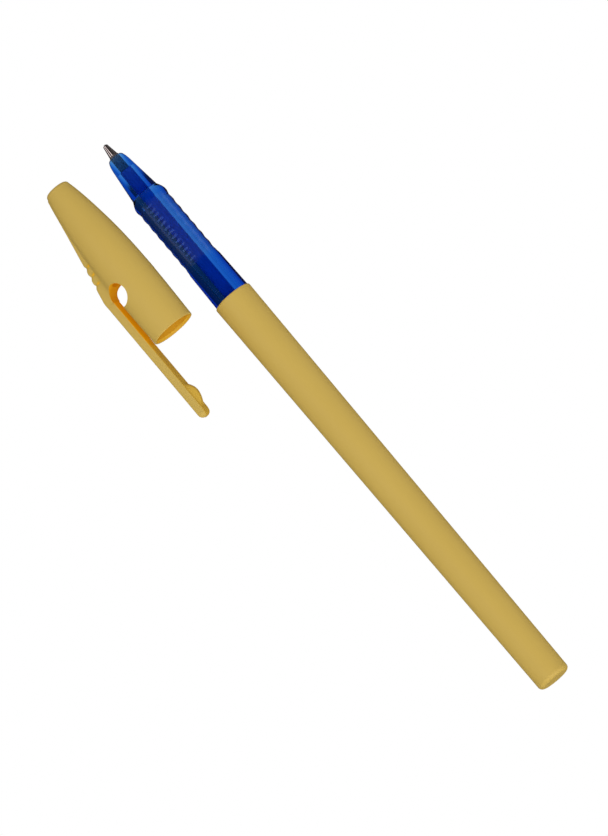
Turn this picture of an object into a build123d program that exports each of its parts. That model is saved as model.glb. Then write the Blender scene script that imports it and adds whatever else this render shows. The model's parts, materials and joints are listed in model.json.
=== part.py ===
"""Stick ballpoint pen with its cap lying beside it. Millimetres, +Z up.

The pen lies along +X, ball first, on the plane z = 0. The cap lies on the -Y side, parallel to the
pen, with its mouth towards the pen's rear end and its clip pointing away from the pen. The origin is
the middle of the whole group's underside.
"""

from build123d import *
import os

# Writing tip and ball
ball_diameter = 0.8
ball_play = 0.02  # radial running clearance of the ball in its socket
ball_reach = 0.25  # how far the ball stands out of the rim
tip_rim_diameter = 1.04
tip_cone_length = 3.1
tip_shank_diameter = 2.1
tip_shank_length = 3.6
tip_spigot_length = 4.0
ink_channel_diameter = 0.7

# Ink tube
tube_diameter = 2.6
tube_wall = 0.4
tube_length = 121.0
ink_length = 96.0
press_gap = 0.02  # radial gap left between pieces that are pressed together
tube_play = 0.05  # radial room around the tube in the nose

# Clear front section: nose, waved grip, smooth collar and the spigot inside the barrel
front_length = 40.7  # ball to the barrel's front edge
nose_face_diameter = 2.7
nose_round_length = 2.25
nose_front_diameter = 4.4
nose_base_diameter = 6.1
nose_length = 9.55
flare_length = 2.2
flare_lead = (0.45, 0.72)  # shares of the flare's length and height at its first handle, a straight ramp
flare_round = 0.32  # share of the flare's length over which it rounds into the crest
crest_diameter = 7.62
wave_count = 7
wave_pitch = 2.3
wave_depth = 0.12  # crest to trough, on the radius
wave_mean_diameter = 7.3
sine_reach = 0.364  # share of a half wave at which a curve's handles make it a sine
collar_step_run = 0.9
collar_front_diameter = 7.66
collar_rear_diameter = 8.0
grip_wall = 1.25
chamber_cone_length = 1.6
spigot_length = 8.0
spigot_end_gap = 0.3

# Barrel
pen_length = 142.2
barrel_front_diameter = 8.58
barrel_rear_diameter = 7.35
barrel_front_round = 0.3
barrel_rear_round = 0.9
socket_wall = 0.82  # barrel wall around the section's spigot
barrel_wall = 1.05
barrel_end_wall = 1.6

# Cap shell
cap_seat_setback = 4.6  # band of collar left showing when the cap is on
cap_tip_room = 0.3  # free space in front of the ball when the cap is on
cap_top_wall = 1.0
cap_fit_play = 0.03
cap_mouth_wall = 0.72
cap_mouth_chamfer = 0.5
cap_bulge = 0.26  # how far the fullest ring stands out past the mouth, on the radius
cap_bulge_setback = 14.0
cap_waist_diameter = 8.48
cap_waist_setback = 27.1
cap_top_diameter = 5.5
cap_top_round = 0.8
cap_inner_top_diameter = 3.6

# Clip and the keel it grows from
clip_gap = 0.79  # between the cap's fullest ring and the clip
clip_thickness = 1.98
clip_width = 2.8
clip_overhang = 17.57  # past the cap's mouth
clip_edge_round = 0.35
clip_end_round = 0.9
nub_height = 1.15
nub_width = 1.5
nub_length = 5.3
nub_setback = 5.38  # from the clip's free end to the nub's peak
hinge_play = 0.04
hinge_lead = 1.2  # from the clip's hinge to the keyhole's middle
keyhole_diameter = 5.1
keyhole_setback = 12.1
keel_rise = 0.215  # keel height gained per millimetre towards the clip
notch_count = 3
notch_pitch = 1.96
notch_radius = 0.55
notch_depth = 0.4
notch_setback = 3.84  # from the clip's root to the last notch

# How the cap lies beside the pen
cap_distance = 13.35
cap_setback = 1.05  # from the ball's front to the cap's top, along the pen
cap_roll = 29.8  # degrees that the clip points below the horizontal

# Stations along the pen, measured from the front of the ball
rim_x = ball_reach
shank_x = rim_x + tip_cone_length
shoulder_x = shank_x + tip_shank_length
tip_end_x = shoulder_x + tip_spigot_length
nose_round_x = shank_x + nose_round_length
flare_x = shank_x + nose_length
crest_x = flare_x + flare_length
collar_x = crest_x + wave_count * wave_pitch + collar_step_run
spigot_end_x = front_length + spigot_length

# Radii that follow from a neighbour
tube_bore_radius = tube_diameter / 2 - tube_wall
spigot_radius = barrel_front_diameter / 2 - socket_wall - press_gap
chamber_radius = wave_mean_diameter / 2 - wave_depth / 2 - grip_wall
collar_taper = (collar_rear_diameter - collar_front_diameter) / 2 / (front_length - collar_x)
seat_x = front_length - cap_seat_setback
cap_bore_radius = collar_front_diameter / 2 + collar_taper * (seat_x - collar_x) + cap_fit_play
cap_mouth_radius = cap_bore_radius + cap_mouth_wall
cap_bulge_radius = cap_mouth_radius + cap_bulge

# Stations along the cap, measured from its closed top
cap_inner_end = seat_x + cap_tip_room
cap_length = cap_inner_end + cap_top_wall
cap_bulge_x = cap_length - cap_bulge_setback
cap_waist_x = cap_length - cap_waist_setback
cap_bore_x = crest_x - flare_length / 2 + cap_length - seat_x
keyhole_x = cap_length - keyhole_setback
hinge_x = keyhole_x - hinge_lead
clip_end_x = cap_length + clip_overhang
clip_inner = cap_bulge_radius + clip_gap
clip_outer = clip_inner + clip_thickness
hinge_radius = clip_thickness / 2
hinge_height = clip_inner + hinge_radius


def turned(*edges):
    """A solid of revolution about X from edges that close in the upper half plane."""
    return revolve(make_face(Curve() + list(edges)), Axis.X)


def turned_polygon(*points):
    return turned(Polyline(*points, close=True))


def across(outline, width):
    """A flat outline in the clip's plane, given its width to both sides."""
    return extrude(outline, width / 2, both=True)


def swell(start, end):
    """A half wave between two points of a profile, level with the axis at both."""
    start, end = Vector(*start), Vector(*end)
    reach = Vector(sine_reach * (end.X - start.X), 0)
    return Bezier(start, start + reach, end - reach, end)


def disc(radius, x, height):
    return Pos(x, height) * Circle(radius)


def keel_height(x):
    return clip_outer - keel_rise * (hinge_x - x)


def writing_ball():
    return Pos(ball_diameter / 2, 0, 0) * Sphere(ball_diameter / 2)


def writing_tip():
    spigot_radius_in_tube = tube_bore_radius - press_gap
    body = turned_polygon(
        (rim_x, 0),
        (rim_x, tip_rim_diameter / 2),
        (shank_x, tip_shank_diameter / 2),
        (shoulder_x, tip_shank_diameter / 2),
        (shoulder_x, spigot_radius_in_tube),
        (tip_end_x, spigot_radius_in_tube),
        (tip_end_x, 0),
    )
    socket = Pos(ball_diameter / 2, 0, 0) * Sphere(ball_diameter / 2 + ball_play)
    channel = turned_polygon(
        (ball_diameter / 2, 0),
        (ball_diameter / 2, ink_channel_diameter / 2),
        (tip_end_x, ink_channel_diameter / 2),
        (tip_end_x, 0),
    )
    return body - socket - channel


def ink_tube():
    return turned_polygon(
        (shoulder_x, tube_bore_radius),
        (shoulder_x, tube_diameter / 2),
        (shoulder_x + tube_length, tube_diameter / 2),
        (shoulder_x + tube_length, tube_bore_radius),
    )


def ink_column():
    return turned_polygon(
        (tip_end_x, 0),
        (tip_end_x, tube_bore_radius - press_gap),
        (tip_end_x + ink_length, tube_bore_radius - press_gap),
        (tip_end_x + ink_length, 0),
    )


def grip_section():
    face_radius = nose_face_diameter / 2
    front_radius = nose_front_diameter / 2
    base_radius = nose_base_diameter / 2
    taper = (base_radius - front_radius) / (flare_x - nose_round_x)
    nose_round = Bezier(
        (shank_x, face_radius),
        (shank_x, (face_radius + front_radius) / 2),
        (nose_round_x - nose_round_length / 2, front_radius - taper * nose_round_length / 2),
        (nose_round_x, front_radius),
    )
    nose_side = Line((nose_round_x, front_radius), (flare_x, base_radius))
    crest_radius = crest_diameter / 2
    flare_height = crest_radius - base_radius
    flare = Bezier(
        (flare_x, base_radius),
        (flare_x + flare_lead[0] * flare_length, base_radius + flare_lead[1] * flare_height),
        (crest_x - flare_round * flare_length, crest_radius),
        (crest_x, crest_radius),
    )
    grip = [flare]
    for number in range(wave_count):
        trough = (crest_x + (number + 0.5) * wave_pitch, wave_mean_diameter / 2 - wave_depth / 2)
        crest = (trough[0] + wave_pitch / 2, wave_mean_diameter / 2 + wave_depth / 2)
        grip += [swell(grip[-1] @ 1, trough), swell(trough, crest)]
    rest = Polyline(
        grip[-1] @ 1,
        (collar_x, collar_front_diameter / 2),
        (front_length, collar_rear_diameter / 2),
        (front_length, spigot_radius),
        (spigot_end_x, spigot_radius),
        (spigot_end_x, 0),
        (shank_x, 0),
        (shank_x, face_radius),
    )
    shank_bore = tip_shank_diameter / 2 + press_gap
    tube_bore = tube_diameter / 2 + tube_play
    inside = turned_polygon(
        (shank_x, 0),
        (shank_x, shank_bore),
        (shoulder_x, shank_bore),
        (shoulder_x, tube_bore),
        (flare_x, tube_bore),
        (flare_x + chamber_cone_length, chamber_radius),
        (spigot_end_x, chamber_radius),
        (spigot_end_x, 0),
    )
    return turned(nose_round, nose_side, *grip, rest) - inside


def barrel():
    front_radius = barrel_front_diameter / 2
    rear_radius = barrel_rear_diameter / 2
    outside = turned_polygon(
        (front_length, 0),
        (front_length, front_radius),
        (pen_length, rear_radius),
        (pen_length, 0),
    )
    rims = outside.edges().filter_by(GeomType.CIRCLE).sort_by(Axis.X)
    outside = fillet(rims[-1], barrel_rear_round)
    rims = outside.edges().filter_by(GeomType.CIRCLE).sort_by(Axis.X)
    outside = fillet(rims[0], barrel_front_round)
    taper = (front_radius - rear_radius) / (pen_length - front_length)
    socket_end_x = spigot_end_x + spigot_end_gap
    bore_end_x = pen_length - barrel_end_wall
    inside = turned_polygon(
        (front_length, 0),
        (front_length, spigot_radius + press_gap),
        (socket_end_x, spigot_radius + press_gap),
        (socket_end_x, front_radius - taper * (socket_end_x - front_length) - barrel_wall),
        (bore_end_x, front_radius - taper * (bore_end_x - front_length) - barrel_wall),
        (bore_end_x, 0),
    )
    return outside - inside


def cap_shell():
    top_radius = cap_top_diameter / 2
    corner = top_radius - cap_top_round
    top = Line((0, 0), (0, corner))
    shoulder = CenterArc((cap_top_round, corner), cap_top_round, 180, -90)
    side = Spline(
        (cap_top_round, top_radius),
        (cap_waist_x, cap_waist_diameter / 2),
        (cap_bulge_x, cap_bulge_radius),
        (cap_length, cap_mouth_radius),
        tangents=((1, 0.3), (1, -0.025)),
    )
    mouth = Polyline((cap_length, cap_mouth_radius), (cap_length, 0), (0, 0))
    body = turned(top, shoulder, side, mouth)
    keel = Polyline(
        (hinge_x, clip_outer),
        (hinge_x, 0),
        (cap_top_round, 0),
        (cap_top_round, keel_height(cap_top_round)),
        close=True,
    )
    outline = make_face(keel) - disc(hinge_radius + hinge_play, hinge_x, hinge_height)
    keel_block = across(outline, clip_width)
    outer_edges = keel_block.edges().filter_by(Axis((0, 0, 0), (1, keel_rise, 0)))
    body += fillet(outer_edges, clip_edge_round)
    inside = turned_polygon(
        (cap_top_wall, 0),
        (cap_top_wall, cap_inner_top_diameter / 2),
        (cap_bore_x, cap_bore_radius),
        (cap_length - cap_mouth_chamfer, cap_bore_radius),
        (cap_length, cap_bore_radius + cap_mouth_chamfer),
        (cap_length, 0),
    )
    cuts = disc(keyhole_diameter / 2, keyhole_x, clip_inner - keyhole_diameter / 2)
    for number in range(notch_count):
        notch_x = hinge_x - notch_setback - number * notch_pitch
        cuts += disc(notch_radius, notch_x, keel_height(notch_x) + notch_radius - notch_depth)
    return body - inside - across(cuts, 2 * cap_bulge_radius + clip_width)


def cap_clip():
    nub_x = clip_end_x - nub_setback
    nub_start = (nub_x - nub_length / 2, clip_inner)
    nub_end = (nub_x + nub_length / 2, clip_inner)
    root = ThreePointArc(
        (hinge_x, clip_inner),
        (hinge_x - hinge_radius, hinge_height),
        (hinge_x, clip_outer),
    )
    sides = Polyline(
        (hinge_x, clip_outer),
        (clip_end_x, clip_outer),
        (clip_end_x, clip_inner),
        (hinge_x, clip_inner),
    )
    outline = make_face(Curve() + [root, sides])
    ends = outline.vertices().sort_by(Axis.X)[-2:]
    blade = across(fillet(ends, clip_end_round), clip_width)
    long_edges = blade.edges().filter_by(Axis.X).group_by(Axis.Y)[-1]
    blade = fillet(long_edges, clip_edge_round)
    swelling = Spline(nub_end, (nub_x, clip_inner - nub_height), nub_start, tangents=((-1, 0), (-1, 0)))
    inside = Polyline(
        nub_start,
        (nub_start[0], hinge_height),
        (nub_end[0], hinge_height),
        nub_end,
    )
    return blade + across(make_face(Curve() + [swelling, inside]), nub_width)


def lie_down(cap_piece):
    """Places a cap piece, made along X with its clip at +Y, where the cap lies beside the pen."""
    return Pos(cap_setback, -cap_distance, cap_bulge_radius) * Rot(180 + cap_roll, 0, 0) * cap_piece


pen_height = barrel_front_diameter / 2
pieces = {}
for make in (barrel, grip_section, writing_tip, writing_ball, ink_tube, ink_column):
    pieces[make.__name__] = Pos(0, 0, pen_height) * make()
for make in (cap_shell, cap_clip):
    pieces[make.__name__] = lie_down(make())

box = pieces["barrel"].bounding_box()
for piece in pieces.values():
    box = box.add(piece.bounding_box())
to_origin = Pos(-(box.min.X + box.max.X) / 2, -(box.min.Y + box.max.Y) / 2, -box.min.Z)
os.makedirs("parts", exist_ok=True)
for name, piece in pieces.items():
    export_step(to_origin * piece, f"parts/{name}.step")

# Places of the joints and mounts, for the record
hinge_place = to_origin * lie_down(Pos(hinge_x, hinge_height, 0))
mouth_place = to_origin * lie_down(Pos(cap_length, 0, 0))
grip_place = to_origin * lie_down(Pos(clip_end_x - nub_setback, clip_inner - nub_height, 0))
print("shift", tuple(to_origin.position))
print("ball centre", tuple((to_origin * Pos(ball_diameter / 2, 0, pen_height)).position))
print("rear end", tuple((to_origin * Pos(pen_length, 0, pen_height)).position))
print("cap axis to pen axis", (0, cap_distance, pen_height - cap_bulge_radius))
print("clip hinge", tuple(hinge_place.position), "axis", tuple(hinge_place.z_axis.direction))
print("cap mouth", tuple(mouth_place.position), "radius", cap_bore_radius, "bore start", cap_bore_x)
print("clip nub", tuple(grip_place.position), "outward", tuple(grip_place.y_axis.direction))
print("cap length", cap_length, "bulge radius", cap_bulge_radius, "clip outer", clip_outer)
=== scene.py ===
# %% [markdown]
# # A stick ballpoint pen with its cap off
#
# The real pen is five pieces in a row: an opaque satin barrel, a clear front section with a waved grip,
# a turned metal tip, its ball, and the ink tube that shows through the clear plastic. Its cap lies beside
# it, with a spring clip in one piece with it. The frame that is loaded here holds every piece at its real
# size and place, so this lesson makes a finer surface for each of them, in that place.

# %% Load the frame
import json
from math import asin, atan2, cos, exp, hypot, pi, radians, sin, sqrt, tan

import bmesh
import bpy
import numpy as np
from mathutils import Matrix, Vector


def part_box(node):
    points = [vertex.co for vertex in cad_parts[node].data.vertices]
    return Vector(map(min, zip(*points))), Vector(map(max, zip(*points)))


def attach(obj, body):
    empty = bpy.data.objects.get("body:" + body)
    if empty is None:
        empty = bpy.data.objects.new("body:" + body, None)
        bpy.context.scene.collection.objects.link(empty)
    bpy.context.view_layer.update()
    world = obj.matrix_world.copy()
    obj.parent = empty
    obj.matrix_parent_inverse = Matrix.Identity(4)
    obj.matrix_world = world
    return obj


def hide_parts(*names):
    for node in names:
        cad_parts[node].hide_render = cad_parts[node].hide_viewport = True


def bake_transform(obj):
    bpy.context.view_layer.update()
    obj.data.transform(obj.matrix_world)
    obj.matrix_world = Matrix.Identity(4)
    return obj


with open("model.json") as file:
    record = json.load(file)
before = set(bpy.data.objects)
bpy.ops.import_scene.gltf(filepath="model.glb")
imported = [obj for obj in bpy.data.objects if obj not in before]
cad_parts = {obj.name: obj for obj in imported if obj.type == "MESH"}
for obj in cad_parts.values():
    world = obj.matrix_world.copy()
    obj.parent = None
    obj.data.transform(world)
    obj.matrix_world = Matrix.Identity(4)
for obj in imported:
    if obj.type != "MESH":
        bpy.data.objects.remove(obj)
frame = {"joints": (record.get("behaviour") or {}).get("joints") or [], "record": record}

MM = 0.001
scene = bpy.context.scene
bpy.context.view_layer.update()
joints = {joint["name"]: joint for joint in frame["joints"]}
mounts = {mount["name"]: mount for mount in frame["record"]["mounts"]}

# %% [markdown]
# The pen's axis runs along X through the ball. The cap's axis is parallel to it through the middle of
# the cap's mouth, and the clip stands out from that axis square to its own hinge. Three unit vectors
# at the cap make it easy to say "along", "outwards to the clip" and "across the clip".

# %% Find the two axes
ball_centre = Vector(joints["ball_roll"]["pos_m"])
pen_front = Vector((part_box("writing_ball")[0].x, ball_centre.y, ball_centre.z))
pen_rear_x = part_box("barrel")[1].x
mouth = Vector(mounts["cap_mouth"]["pos_m"])
cap_top = Vector((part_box("cap_shell")[0].x, mouth.y, mouth.z))
cap_along = Vector((1, 0, 0))
cap_across = Vector(joints["clip_flex"]["axis"]).normalized()
cap_outward = cap_across.cross(cap_along)
hinge = Vector(joints["clip_flex"]["pos_m"])
if cap_outward.dot(hinge - cap_top) < 0:
    cap_outward.negate()
pen_length = (pen_rear_x - pen_front.x) / MM
cap_length = (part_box("cap_shell")[1].x - cap_top.x) / MM
print("pen", round(pen_length, 2), "mm long, cap", round(cap_length, 2), "mm long")

# %% [markdown]
# ## Camera
#
# The pen is seen from steeply above and from far away, with its axis running down to the right. A long
# lens at a distance keeps the two ends at nearly one scale, as in a catalogue picture. The picture is
# 608 by 836 pixels, and one pixel covers about a fifth of a millimetre.

# %% Place the camera
PICTURE = (608, 836)
PIXEL = 0.2 * MM
SENSOR = 36.0
camera_azimuth = radians(50.66)
camera_elevation = radians(76.4)
camera_distance = 2.5
picture_centre = Vector((-1.98, 3.4, 4.3)) * MM


def add_object(name, data):
    """A new object in the scene, at the origin."""
    item = bpy.data.objects.new(name, data)
    scene.collection.objects.link(item)
    return item


camera_data = bpy.data.cameras.new("camera")
camera_data.sensor_width = SENSOR
camera_data.lens = SENSOR * camera_distance / (PICTURE[1] * PIXEL)
camera = add_object("camera", camera_data)
towards_camera = Vector((
    sin(camera_azimuth) * cos(camera_elevation),
    -cos(camera_azimuth) * cos(camera_elevation),
    sin(camera_elevation),
))
camera.location = picture_centre + towards_camera * camera_distance
camera.rotation_euler = (-towards_camera).to_track_quat("-Z", "Y").to_euler()
scene.camera = camera
print("lens", round(camera_data.lens), "mm")

# %% [markdown]
# ## Nodes as plain sums
#
# Materials are built from nodes. Wiring them one by one hides the idea, so a small class wraps a
# socket: adding or multiplying two wires puts the matching Math node into the tree. Every other node
# comes from one method, which sets the node up first and then plugs in its sockets.


# %% A wire that takes part in sums
class Wire:
    """An output socket. Sums with it add Math nodes to its tree."""

    def __init__(self, bench, socket):
        self.bench = bench
        self.socket = socket

    def sum(self, operation, first, second):
        return self.bench.add("ShaderNodeMath", {"operation": operation}, {0: first, 1: second})

    def __add__(self, other):
        return self.sum("ADD", self, other)

    def __sub__(self, other):
        return self.sum("SUBTRACT", self, other)

    def __rsub__(self, other):
        return self.sum("SUBTRACT", other, self)

    def __mul__(self, other):
        return self.sum("MULTIPLY", self, other)

    def __truediv__(self, other):
        return self.sum("DIVIDE", self, other)

    __radd__ = __add__
    __rmul__ = __mul__


class Bench:
    """A node tree with one method that adds a node."""

    def __init__(self, tree):
        self.tree = tree

    def add(self, kind, settings=None, inputs=None, output=0):
        node = self.tree.nodes.new(kind)
        for name, value in (settings or {}).items():
            if name == "stops":
                stops = node.color_ramp.elements
                while len(stops) < len(value):
                    stops.new(1.0)
                for stop, (place, level) in zip(stops, value):
                    stop.position = place
                    stop.color = (level, level, level, 1.0)
            else:
                setattr(node, name, value)
        for key, value in (inputs or {}).items():
            named = [socket for socket in node.inputs if socket.identifier == key]
            socket = named[0] if named else node.inputs[key]
            if isinstance(value, Wire):
                self.tree.links.new(value.socket, socket)
            else:
                socket.default_value = value
        return Wire(self, node.outputs[output])

    def cosine(self, angle):
        return self.add("ShaderNodeMath", {"operation": "COSINE"}, {0: angle})

    def sine(self, angle):
        return self.add("ShaderNodeMath", {"operation": "SINE"}, {0: angle})

    def floor(self, value):
        return self.add("ShaderNodeMath", {"operation": "FLOOR"}, {0: value})


print("wires and benches ready")

# %% [markdown]
# A finish starts from an empty material: one Principled shader whose constant numbers are set directly
# on it, and a few wires for what changes over the surface. Patterns read Object coordinates, and every
# piece sits at the origin, so a pattern's scale is in metres.


# %% Start a finish
def empty_bench(owner):
    """The cleared node tree of a material or a world, as a bench."""
    owner.use_nodes = True
    owner.node_tree.nodes.clear()
    return Bench(owner.node_tree)


def new_finish(name, constants):
    """An empty material, its bench, its Principled shader and its output."""
    material = bpy.data.materials.new(name)
    bench = empty_bench(material)
    shader = bench.tree.nodes.new("ShaderNodeBsdfPrincipled")
    for key, value in constants.items():
        shader.inputs[key].default_value = value
    output = bench.tree.nodes.new("ShaderNodeOutputMaterial")
    bench.tree.links.new(shader.outputs[0], output.inputs["Surface"])
    return material, bench, shader, output


def feed(bench, shader, wires):
    """Plugs wires into a shader's named sockets."""
    for key, wire in wires.items():
        bench.tree.links.new(wire.socket, shader.inputs[key])


print("finishes can be started")


# %% Patterns for finishes
def object_place(bench):
    return bench.add("ShaderNodeTexCoord", output="Object")


def stretched(bench, place, stretch):
    """Coordinates scaled by three numbers, to draw a pattern out along an axis."""
    return bench.add("ShaderNodeMapping", {"vector_type": "POINT"}, {"Vector": place, "Scale": stretch})


def noise(bench, place, per_metre, detail=3.0, roughness=0.5):
    """Noise from 0 to 1 with about that many lumps in a metre."""
    return bench.add(
        "ShaderNodeTexNoise",
        {"noise_dimensions": "3D"},
        {"Vector": place, "Scale": per_metre, "Detail": detail, "Roughness": roughness},
    )


def bump(bench, height, depth, strength):
    """A normal from a height of 0 to 1 that stands for that depth in metres."""
    return bench.add("ShaderNodeBump", {}, {"Height": height, "Distance": depth, "Strength": strength})


def mixed(bench, factor, first, second):
    """A colour between two colours."""
    return bench.add(
        "ShaderNodeMix",
        {"data_type": "RGBA"},
        {"Factor_Float": factor, "A_Color": first, "B_Color": second},
        output=2,
    )


def ramp(bench, value, low, high):
    """A soft step from 0 at one value to 1 at the other."""
    return bench.add("ShaderNodeMapRange", {"interpolation_type": "SMOOTHSTEP"}, {
        "Value": value, "From Min": low, "From Max": high})


def part_of(bench, vector, axis):
    """One number of a vector: 0 for x, 1 for y, 2 for z."""
    return bench.add("ShaderNodeSeparateXYZ", {}, {0: vector}, output=axis)


print("patterns ready")

# %% [markdown]
# ## Satin yellow plastic
#
# Barrel and cap are one mustard-coloured plastic with a satin skin. Moulded plastic is never quite even:
# the colour drifts a little along the flow, the spark-eroded mould leaves a fine grain, and handling
# draws faint hairlines along the piece and dulls or polishes it in patches. On the real cap, light soaks
# through the thin walls and bounces between them and turns a deep orange, so sheltered faces shine where
# an opaque wall would be dark. Here that glow is painted on: sheltered faces get an orange colour and a
# weak emission. A glow number on the cap's faces says how sheltered each one is.

# %% Satin yellow
YELLOW = (0.66, 0.455, 0.10, 1.0)
YELLOW_DEEP = (0.61, 0.41, 0.08, 1.0)
# Painted glow: sheltered faces get this deep orange colour and a weak orange emission in place of light
# that bounces and soaks through the yellow walls.
PAINTED_GLOW_COLOUR = (0.60, 0.36, 0.004, 1.0)
PAINTED_GLOW_LIGHT = (0.33, 0.11, 0.0, 1.0)
NO_LIGHT = (0.0, 0.0, 0.0, 1.0)
SATIN_IOR = 1.49
SATIN_SMOOTHEST = 0.36
GRAIN_DEPTH = 0.012 * MM


def satin_plastic(name):
    material, bench, shader, _ = new_finish(name, {
        "IOR": SATIN_IOR,
        "Specular IOR Level": 0.3,
        "Emission Strength": 1.0,
    })
    place = object_place(bench)
    flow = noise(bench, stretched(bench, place, (0.25, 1.0, 1.0)), per_metre=160.0, detail=4.0)
    speckle = noise(bench, place, per_metre=2600.0, detail=2.0)
    handled = noise(bench, place, per_metre=420.0, detail=5.0, roughness=0.6)
    hairlines = noise(bench, stretched(bench, place, (0.04, 1.0, 1.0)), per_metre=5200.0, detail=2.0)
    grain = noise(bench, place, per_metre=9000.0, detail=2.0)
    tint = flow * 0.7 + speckle * 0.3
    height = grain * 0.7 + hairlines * 0.3
    glow = bench.add("ShaderNodeAttribute", {"attribute_name": "glow"}, output=2)
    # The glow number mixes in the painted glow: an orange colour and a weak emission on sheltered faces.
    feed(bench, shader, {
        "Base Color": mixed(bench, glow, mixed(bench, tint, YELLOW_DEEP, YELLOW), PAINTED_GLOW_COLOUR),
        "Emission Color": mixed(bench, glow * glow * glow, NO_LIGHT, PAINTED_GLOW_LIGHT),
        "Roughness": handled * 0.14 + hairlines * 0.06 + SATIN_SMOOTHEST,
        "Normal": bump(bench, height, GRAIN_DEPTH, strength=0.6),
    })
    return material


barrel_finish = satin_plastic("satin_yellow_barrel")
cap_finish = satin_plastic("satin_yellow_cap")
print("made", barrel_finish.name, cap_finish.name)

# %% [markdown]
# ## Clear blue plastic
#
# The front section is a see-through moulding. Its colour comes from the depth of plastic that light has
# to cross, so the blue sits in a volume that absorbs red first and blue last, while the surface only
# bends the light. Thin parts turn pale and thick ones dark, without any painting. A polished mould still
# leaves faint flow lines, and fingers leave a dull patch here and there. Only the waves of the grip mirror
# the lights, because fingers polish them, so they alone get a clear coat. It lies on their outside only:
# the walls of the chamber inside would mirror the lights a second time.

# %% Clear blue
DYE_DENSITY = 1300.0
DYE_PASSES = (0.02, 0.54, 0.89, 1.0)
GRIP_START, GRIP_END, GRIP_FADE = 14.8, 31.6, 1.5
INSIDE_SQUARED, OUTSIDE_SQUARED = 9.0, 11.0
CLEAR_SMOOTHEST = 0.015


def grip_coat(bench, place):
    """1 on the outside of the grip's waves, 0 elsewhere. Radii are compared as squares, in mm."""
    from_front = (part_of(bench, place, 0) - pen_front.x) / MM
    aside = (part_of(bench, place, 1) - pen_front.y) / MM
    above = (part_of(bench, place, 2) - pen_front.z) / MM
    started = ramp(bench, from_front, GRIP_START, GRIP_START + GRIP_FADE)
    not_ended = ramp(bench, from_front, GRIP_END, GRIP_END - GRIP_FADE)
    outside = ramp(bench, aside * aside + above * above, INSIDE_SQUARED, OUTSIDE_SQUARED)
    return started * not_ended * outside


def clear_plastic():
    material, bench, shader, output = new_finish("clear_blue_section", {
        "Base Color": (0.93, 0.96, 1.0, 1.0),
        "Transmission Weight": 1.0,
        "IOR": 1.5,
        "Specular Tint": (0.0, 0.0, 0.0, 1.0),
        "Coat IOR": 1.8,
        "Coat Roughness": 0.1,
    })
    place = object_place(bench)
    flow = noise(bench, stretched(bench, place, (0.3, 1.0, 1.0)), per_metre=700.0)
    smudge = noise(bench, place, per_metre=500.0, detail=4.0, roughness=0.6)
    dull = bench.add("ShaderNodeValToRGB", {"stops": [(0.5, 0.0), (0.8, 1.0)]}, {"Fac": smudge})
    feed(bench, shader, {
        "Coat Weight": grip_coat(bench, place),
        "Roughness": dull * 0.05 + CLEAR_SMOOTHEST,
        "Normal": bump(bench, flow, 0.02 * MM, strength=0.06),
    })
    dye = bench.tree.nodes.new("ShaderNodeVolumeAbsorption")
    dye.inputs["Color"].default_value = DYE_PASSES
    dye.inputs["Density"].default_value = DYE_DENSITY
    bench.tree.links.new(dye.outputs[0], output.inputs["Volume"])
    return material


clear_finish = clear_plastic()
print("made", clear_finish.name)

# %% [markdown]
# ## Metal, tube and ink
#
# The tip is turned on a lathe, so its surface is a stack of very fine rings round the axis, which draw
# the mirrored lights out into streaks along the cone. Its shank is duller than the cone. The ball is
# ground hard metal with a fine speckle. The ink tube is milky plastic drawn through a die, with faint
# lines along it, and it turns a deeper blue where ink stands behind its wall. The ink is a dark wet paste.

# %% Turned metal and the ball
TIP_DARK, TIP_LIGHT = (0.34, 0.28, 0.27, 1.0), (0.56, 0.47, 0.46, 1.0)
BALL_DARK, BALL_LIGHT = (0.30, 0.30, 0.32, 1.0), (0.62, 0.62, 0.64, 1.0)
DULL_START, DULL_FULL = 3.1, 3.4
SHANK_DULLNESS = 0.7


def turned_metal():
    material, bench, shader, _ = new_finish("turned_metal", {})
    place = object_place(bench)
    along = part_of(bench, place, 0)
    shank = ramp(bench, along, pen_front.x + DULL_START * MM, pen_front.x + DULL_FULL * MM)
    rings = noise(bench, stretched(bench, place, (1.0, 0.02, 0.02)), per_metre=14000.0)
    stain = noise(bench, place, per_metre=1800.0)
    feed(bench, shader, {
        "Base Color": mixed(bench, stain, TIP_DARK, TIP_LIGHT),
        "Metallic": 1.0 - shank * SHANK_DULLNESS,
        "Roughness": rings * 0.1 + stain * 0.06 + 0.05,
        "Normal": bump(bench, rings, 0.01 * MM, strength=0.3),
    })
    return material


def ground_metal():
    material, bench, shader, _ = new_finish("ground_metal", {"Metallic": 1.0})
    speckle = noise(bench, object_place(bench), per_metre=22000.0, detail=2.0)
    feed(bench, shader, {
        "Base Color": mixed(bench, speckle, BALL_DARK, BALL_LIGHT),
        "Roughness": speckle * 0.2 + 0.1,
        "Normal": bump(bench, speckle, 0.004 * MM, strength=0.6),
    })
    return material


tip_finish = turned_metal()
ball_finish = ground_metal()
print("made", tip_finish.name, ball_finish.name)

# %% Ink tube and ink
TUBE_DARK, TUBE_LIGHT = (0.15, 0.18, 0.54, 1.0), (0.21, 0.25, 0.66, 1.0)
INKED_DARK, INKED_LIGHT = (0.03, 0.17, 0.54, 1.0), (0.04, 0.21, 0.66, 1.0)
INK_DARK, INK_LIGHT = (0.006, 0.012, 0.11, 1.0), (0.014, 0.026, 0.19, 1.0)
INK_START, INK_FADE = 10.95, 2.0


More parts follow.
